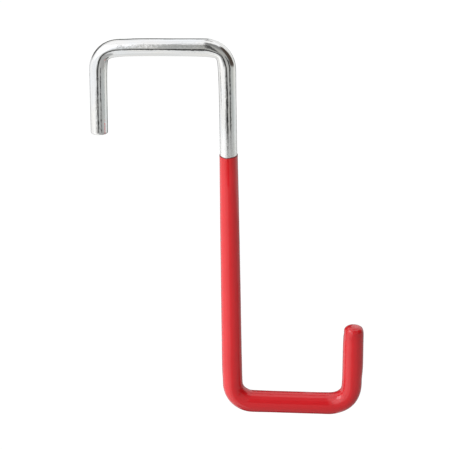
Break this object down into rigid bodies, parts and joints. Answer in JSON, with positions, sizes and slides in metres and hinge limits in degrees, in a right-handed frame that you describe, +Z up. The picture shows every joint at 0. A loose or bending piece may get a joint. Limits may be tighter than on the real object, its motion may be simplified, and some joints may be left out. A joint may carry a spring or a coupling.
{
  "type": "over-beam storage hook",
  "caption": "Over-the-beam storage hook: a round steel rod bent to an S, with a dipped vinyl skin over its lower half.",
  "frame": {"origin": "point of the top bar's underside, midway between the upper legs, that rests on the beam", "axes": "+Z up as the hook hangs; +X from the beam's side of the hook to the side where the load hangs; Y along the beam, square to the hook's plane"},
  "size_m": [0.1027, 0.0086, 0.1494],
  "materials": {
    "zinc_plated_steel": "bright zinc plate over drawn wire",
    "red_vinyl": "dipped plastisol, soft gloss"
  },
  "bodies": {
    "root": {"steel_rod": "zinc_plated_steel", "vinyl_coat": "red_vinyl"}
  },
  "joints": []
}
